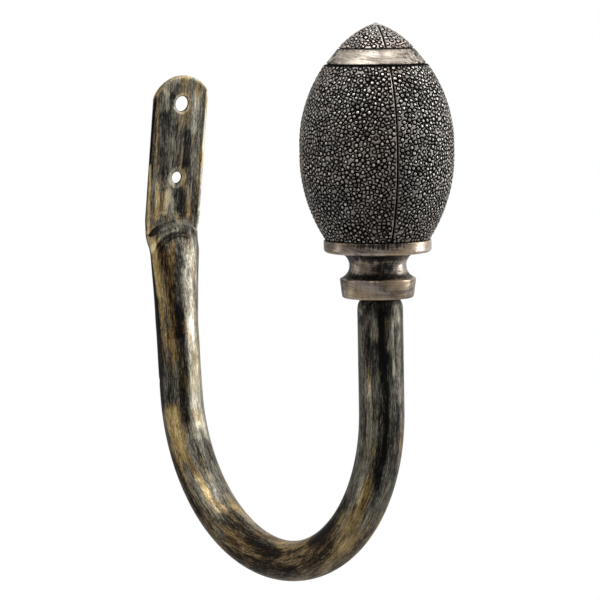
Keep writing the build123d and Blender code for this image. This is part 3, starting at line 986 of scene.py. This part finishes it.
def subdivided(line, longest):
    """Polyline with long stretches cut into shorter ones."""
    result = [line[0]]
    for start, end in zip(line, line[1:]):
        pieces = max(1, int(np.ceil(hypot(end[0] - start[0], end[1] - start[1]) / longest)))
        share = np.arange(1, pieces + 1)[:, None] / pieces
        result.extend(blend(share, start, end))
    return result


def band_piece():
    """Plain conical band between the egg and the tip."""
    low = (EGG_TOP[1] + BAND_BOTTOM[1]) / 2
    high = (BAND_TOP[1] + TIP_BASE[1]) / 2
    under = [(0, low), (BAND_BOTTOM[0] - CREVICE, low)]
    over = [(TIP_BASE[0] - CREVICE, high), (0, high)]
    outline = rounded(under + [BAND_BOTTOM, BAND_TOP] + over, {2: 0.25, 3: 0.25}, 4)
    return turned_piece("band", outline, band_painted_shade)


def band_painted_shade(points):
    """Painted shade toward two sides of the band and a thin line of painted shade along its edges."""
    edges = ((BAND_BOTTOM[1], 0.2, 0.5), (BAND_TOP[1], 0.3, 0.5))
    return around(points, BAND_SIDE_SHADE) + summed(edges, points[:, 2])


# Materials
class Nodes:
    """Node tree, with short calls for the nodes used here."""

    def __init__(self, tree):
        self.tree = tree

    def node(self, kind, settings=None, **inputs):
        made = self.tree.nodes.new("ShaderNode" + kind)
        for name, value in (settings or {}).items():
            setattr(made, name, value)
        for name, value in inputs.items():
            self.put(made.inputs[name.replace("_", " ")], value)
        return made

    def put(self, socket, value):
        if isinstance(value, bpy.types.NodeSocket):
            self.tree.links.new(value, socket)
        else:
            socket.default_value = value

    def attribute(self, name, output="Fac"):
        return self.node("Attribute", {"attribute_name": name}).outputs[output]

    def scaled(self, vector, scale, shift=(0, 0, 0)):
        return self.node("Mapping", Vector=vector, Scale=scale, Location=shift).outputs[0]

    def noise(self, vector, scale, detail=3.0, rough=0.55, twist=0.0):
        made = self.node(
            "TexNoise", Vector=vector, Scale=scale, Detail=detail, Roughness=rough, Distortion=twist
        )
        return made.outputs["Fac"]

    def math(self, operation, *values, clamp=False):
        made = self.node("Math", {"operation": operation, "use_clamp": clamp})
        for socket, value in zip(made.inputs, values):
            self.put(socket, value)
        return made.outputs[0]

    def span(self, value, low, high, start=0.0, end=1.0, curve="SMOOTHSTEP"):
        made = self.node(
            "MapRange", {"interpolation_type": curve},
            Value=value, From_Min=low, From_Max=high, To_Min=start, To_Max=end,
        )
        return made.outputs["Result"]

    def mix(self, share, first, second):
        made = self.node("Mix", {"data_type": "RGBA"})
        sockets = {socket.identifier: socket for socket in made.inputs}
        for name, value in (("Factor_Float", share), ("A_Color", first), ("B_Color", second)):
            self.put(sockets[name], value)
        return next(o for o in made.outputs if o.identifier == "Result_Color")

    def ramp(self, value, stops):
        made = self.node("ValToRGB", Fac=value)
        elements = made.color_ramp.elements
        while len(elements) < len(stops):
            elements.new(0.5)
        for element, (place, colour) in zip(elements, stops):
            element.position = place
            element.color = (*colour, 1)
        return made.outputs[0]


class Shader(Nodes):
    """Nodes of one material around its own surface shader."""

    def __init__(self, name):
        self.material = bpy.data.materials.new(name)
        self.material.use_nodes = True
        super().__init__(self.material.node_tree)
        self.surface = self.tree.nodes["Principled BSDF"]

    def bump(self, height, strength, distance):
        made = self.node("Bump", Height=height, Strength=strength, Distance=distance * MM)
        self.give("Normal", made.outputs[0])

    def give(self, name, value):
        self.put(self.surface.inputs[name], value)

    def finish(self, colour, rough, metallic, specular):
        self.give("Base Color", colour)
        self.give("Roughness", rough)
        self.give("Metallic", metallic)
        self.give("Specular IOR Level", specular)
        return self.material


WARM_TONES = (
    (0.28, (0.003, 0.0025, 0.002)),
    (0.42, (0.036, 0.020, 0.0068)),
    (0.55, (0.128, 0.085, 0.029)),
    (0.68, (0.295, 0.208, 0.080)),
    (0.85, (0.60, 0.48, 0.28)),
)
GREY_TONES = (
    (0.28, (0.003, 0.003, 0.0032)),
    (0.42, (0.029, 0.0265, 0.0205)),
    (0.55, (0.098, 0.090, 0.069)),
    (0.68, (0.224, 0.208, 0.162)),
    (0.85, (0.58, 0.55, 0.45)),
)


def tube_paint():
    """Black paint with brass brushed along the tube, bare brass in the screw holes, and the painted
    highlights and painted shade carried in the rubbed amount.
    """
    s = Shader("brushed_brass_paint")
    place = s.attribute("place", "Vector")
    rub_and_painted_light = s.attribute("rub_and_painted_light")
    warmth = s.attribute("warmth")
    long_streaks = s.noise(s.scaled(place, (1, 1, 0.07)), 0.55, 4.0, 0.62, 0.5)
    fine_streaks = s.noise(s.scaled(place, (1, 1, 0.12), (7, 3, 0)), 1.9, 3.0, 0.65, 0.4)
    patches = s.noise(s.scaled(place, (0.6, 0.6, 0.3), (0, 9, 4)), 0.16, 2.0, 0.5, 0.4)
    specks = s.noise(s.scaled(place, (1, 1, 0.3)), 2.6, 3.0, 0.7)
    amount = s.math("ADD", rub_and_painted_light, -0.48)
    for layer, share in ((patches, 0.35), (long_streaks, 0.43), (fine_streaks, 0.66), (specks, 0.51)):
        amount = s.math("MULTIPLY_ADD", layer, share, amount)
    warm_share = s.noise(s.scaled(place, (1, 1, 0.15), (3, 5, 8)), 0.35, 2.0, 0.5, 0.3)
    warm_share = s.span(s.math("MULTIPLY_ADD", warmth, 0.22, warm_share), 0.38, 0.66)
    colour = s.mix(warm_share, s.ramp(amount, GREY_TONES), s.ramp(amount, WARM_TONES))
    rough = s.span(amount, 0.36, 0.75, 0.5, 0.4)
    metal = s.span(amount, 0.45, 0.7, 0.0, 0.3)
    s.bump(s.math("ADD", fine_streaks, specks), 0.3, 0.10)
    s.give("Specular Tint", (1.0, 0.92, 0.78, 1))
    return s.finish(colour, rough, metal, s.span(amount, 0.3, 0.6, 0.04, 0.3))


def pebbled_pewter(name, lift):
    """Dark patina with the pebbles' tops and the web between them rubbed bright."""
    s = Shader(name)
    relief = s.attribute("relief")
    place = s.node("TexCoord").outputs["Object"]
    grain = s.noise(place, 2600, 2.0, 0.6)
    cloud = s.noise(place, 90, 3.0, 0.55)
    brown = s.noise(place, 60, 2.0, 0.5)
    # lift makes a lighter copy of this pewter; the tip's copy is painted light on the finial's top.
    tone = s.math("MULTIPLY", relief, s.span(cloud, 0.3, 0.7, 0.89 + lift, 0.98 + lift))
    tone = s.math("MULTIPLY_ADD", grain, 0.24, s.math("SUBTRACT", tone, 0.12), clamp=True)
    cool = s.ramp(tone, (
        (0.0, (0.0012, 0.0011, 0.0010)),
        (0.35, (0.007, 0.0066, 0.006)),
        (0.65, (0.085, 0.079, 0.072)),
        (1.0, (0.50, 0.47, 0.43)),
    ))
    warm = s.ramp(tone, (
        (0.0, (0.0014, 0.0011, 0.0009)),
        (0.35, (0.009, 0.007, 0.0058)),
        (0.65, (0.092, 0.075, 0.064)),
        (1.0, (0.51, 0.45, 0.40)),
    ))
    colour = s.mix(s.span(brown, 0.4, 0.6), cool, warm)
    rough = s.span(tone, 0.3, 1.0, 0.7, 0.36)
    metal = s.span(tone, 0.4, 0.9, 0.0, 0.6)
    s.bump(grain, 0.25, 0.05)
    return s.finish(colour, rough, metal, s.span(tone, 0.2, 0.8, 0.02, 0.35))


def turned_pewter(name, light, warm, dark, dullness):
    """Pewter with stains that run down it and turned lines around it."""
    s = Shader(name)
    place = s.node("TexCoord").outputs["Object"]
    patina_and_painted_light = s.attribute("patina_and_painted_light")
    stains = s.noise(s.scaled(place, (1, 1, 0.2)), 900, 3.0, 0.6, 0.1)
    cloud = s.noise(s.scaled(place, (1, 1, 2)), 90, 3.0, 0.6, 0.3)
    lines = s.noise(s.scaled(place, (0.08, 0.08, 1)), 2200, 3.0, 0.6, 0.1)
    pits = s.noise(place, 1500, 2.0, 0.5)
    gold = s.noise(s.scaled(place, (1, 1, 2.5)), 75, 2.0, 0.5, 0.2)
    tone = s.math("MULTIPLY_ADD", cloud, 0.85, s.math("MULTIPLY_ADD", lines, 0.5, -0.075))
    darkened = s.math("MULTIPLY", patina_and_painted_light, s.span(stains, 0.35, 0.65, 0.15, 0.62))
    tone = s.math("SUBTRACT", tone, s.math("ADD", darkened, 0.09))
    tone = s.math("MULTIPLY", tone, s.span(pits, 0.28, 0.36, 0.5, 1.0))
    ramps = [
        s.ramp(tone, ((0.14, black), (0.36, dark), (0.56, metal), (0.8, bright(metal))))
        for black, metal in (((0.006, 0.005, 0.004), light), ((0.006, 0.004, 0.003), warm))
    ]
    colour = s.mix(s.span(gold, 0.42, 0.58), *ramps)
    rough = s.span(tone, 0.2, 0.6, 0.5 + dullness, 0.27 + dullness)
    s.bump(s.math("ADD", lines, pits), 0.3, 0.06)
    return s.finish(colour, rough, 0.62, 0.5)


def bright(colour):
    return tuple(min(1.0, 1.5 * part) for part in colour)


def turned_steel():
    s = Shader("turned_steel")
    place = s.node("TexCoord").outputs["Object"]
    rings = s.noise(s.scaled(place, (0.05, 0.3, 1)), 3000, 2.0, 0.6)
    colour = s.ramp(rings, ((0.3, (0.30, 0.30, 0.30)), (0.7, (0.55, 0.55, 0.54))))
    s.bump(rings, 0.2, 0.03)
    return s.finish(colour, s.span(rings, 0.3, 0.7, 0.45, 0.3), 1.0, 0.5)


def dress(piece, node, material):
    piece.data.materials.clear()
    piece.data.materials.append(material)
    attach(piece, "root")
    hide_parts(node)


# Camera and light
CAMERA_PLACE = Vector((-786.1, -1087.8, 246.3)) * MM
CAMERA_RIGHT = Vector((0.7959, -0.6008, 0.0751))
CAMERA_UP = Vector((0.0751, 0.2210, 0.9724))
CAMERA_BACK = Vector((-0.6008, -0.7682, 0.2210))
SENSOR = 36.0
FOCAL = 218.87


def make_camera():
    data = bpy.data.cameras.new("camera")
    data.sensor_fit = "HORIZONTAL"
    data.sensor_width = SENSOR
    data.lens = FOCAL
    data.clip_start = 0.05
    camera = bpy.data.objects.new("camera", data)
    turn = Matrix((CAMERA_RIGHT, CAMERA_UP, CAMERA_BACK)).transposed().to_4x4()
    camera.matrix_world = Matrix.Translation(CAMERA_PLACE) @ turn
    bpy.context.scene.collection.objects.link(camera)
    bpy.context.scene.camera = camera


CENTRE = Vector((0, -0.07, -0.02))
FILL_STRENGTH = 0.40
BRIGHT_SIDE = CAMERA_RIGHT * 0.5 - CAMERA_BACK * 0.87
BRIGHT_FROM_TO = (-0.5, 0.9)
ROOM_DIM = 0.35
FLOOR_RADIUS = 2300.0
FLOOR_DROP = 1000.0
FLOOR_CORNERS = 96
FLOOR_GLOW = 0.4
# Lamps: name, metres right of, above and in front of the hook, width, height and watts
LAMPS = (
    ("right_strip", 0.75, 0.24, -0.12, 0.26, 0.9, 8.8),
    ("top_box", -0.2, 1.1, 0.35, 0.8, 0.6, 23.0),
    ("left_strip", -0.8, 0.15, -0.05, 0.25, 0.9, 1.4),
)


def soft_box(name, right, up, back, width, height, power):
    """Area lamp placed by its distances right of, above and in front of the hook."""
    data = bpy.data.lights.new(name, "AREA")
    data.shape = "RECTANGLE"
    data.size = width
    data.size_y = height
    data.energy = power
    lamp = bpy.data.objects.new(name, data)
    offset = CAMERA_RIGHT * right + Vector((0, 0, 1)) * up + CAMERA_BACK * back
    lamp.location = CENTRE + offset
    lamp.rotation_euler = (-offset).to_track_quat("-Z", "Y").to_euler()
    bpy.context.scene.collection.objects.link(lamp)


def make_world():
    """White to the camera, and in reflections white behind the hook and dimmer elsewhere."""
    world = bpy.data.worlds.new("studio")
    world.use_nodes = True
    room = Nodes(world.node_tree)
    rays = room.node("LightPath").outputs
    direct = room.math("MAXIMUM", rays["Is Camera Ray"], rays["Is Transmission Ray"])
    behind = room.node("VectorMath", {"operation": "DOT_PRODUCT"})
    room.put(behind.inputs[0], room.node("TexCoord").outputs["Generated"])
    room.put(behind.inputs[1], BRIGHT_SIDE)
    bright_side = room.span(behind.outputs["Value"], *BRIGHT_FROM_TO, ROOM_DIM, 1.0, "LINEAR")
    mirrored = room.math("MULTIPLY", bright_side, rays["Is Glossy Ray"])
    fill = room.math("SUBTRACT", 1.0, rays["Is Glossy Ray"])
    lit = room.math("MULTIPLY_ADD", fill, FILL_STRENGTH, mirrored)
    shade = room.tree.nodes["Background"]
    shade.inputs["Color"].default_value = (1, 1, 1, 1)
    room.put(shade.inputs["Strength"], room.math("MAXIMUM", direct, lit))
    bpy.context.scene.world = world


def make_floor():
    """Pale round floor well below the hook, which hangs on a wall."""
    turn = np.linspace(0, 2 * pi, FLOOR_CORNERS, endpoint=False)
    rim = polar(FLOOR_RADIUS, turn, -FLOOR_DROP)
    floor = new_object("floor", rim, [tuple(range(FLOOR_CORNERS))])
    s = Shader("pale_floor")
    seen = s.node("LightPath").outputs["Is Camera Ray"]
    s.give("Base Color", (0.86, 0.86, 0.86, 1))
    s.give("Roughness", 0.9)
    s.give("Emission Color", (1, 1, 1, 1))
    s.give("Emission Strength", s.math("MULTIPLY", seen, FLOOR_GLOW))
    floor.data.materials.append(s.material)


make_camera()
make_floor()
make_world()
for lamp in LAMPS:
    soft_box(*lamp)
bpy.context.scene.view_settings.view_transform = "Standard"

dress(tube_piece(), "hook_tube", tube_paint())
pebbled = pebbled_pewter("pebbled_pewter", 0.0)
for number in range(SEAM_COUNT):
    dress(egg_panel(number), "finial", pebbled)
# The tip gets a lighter copy of the pebbled pewter as painted light on the finial's top.
dress(tip_piece(), "finial", pebbled_pewter("pebbled_tip", 0.13))
champagne = turned_pewter(
    "champagne_pewter", (0.45, 0.41, 0.35), (0.46, 0.395, 0.32), (0.21, 0.18, 0.15), 0.2
)
dress(band_piece(), "finial", champagne)
brown = turned_pewter(
    "brown_pewter", (0.29, 0.245, 0.205), (0.26, 0.195, 0.13), (0.05, 0.039, 0.03), 0.02
)
dress(base_piece(), "finial", brown)

steel = turned_steel()
for node in ("end_plug", "finial_stud"):
    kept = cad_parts[node]
    for slot in kept.material_slots:
        slot.material = steel
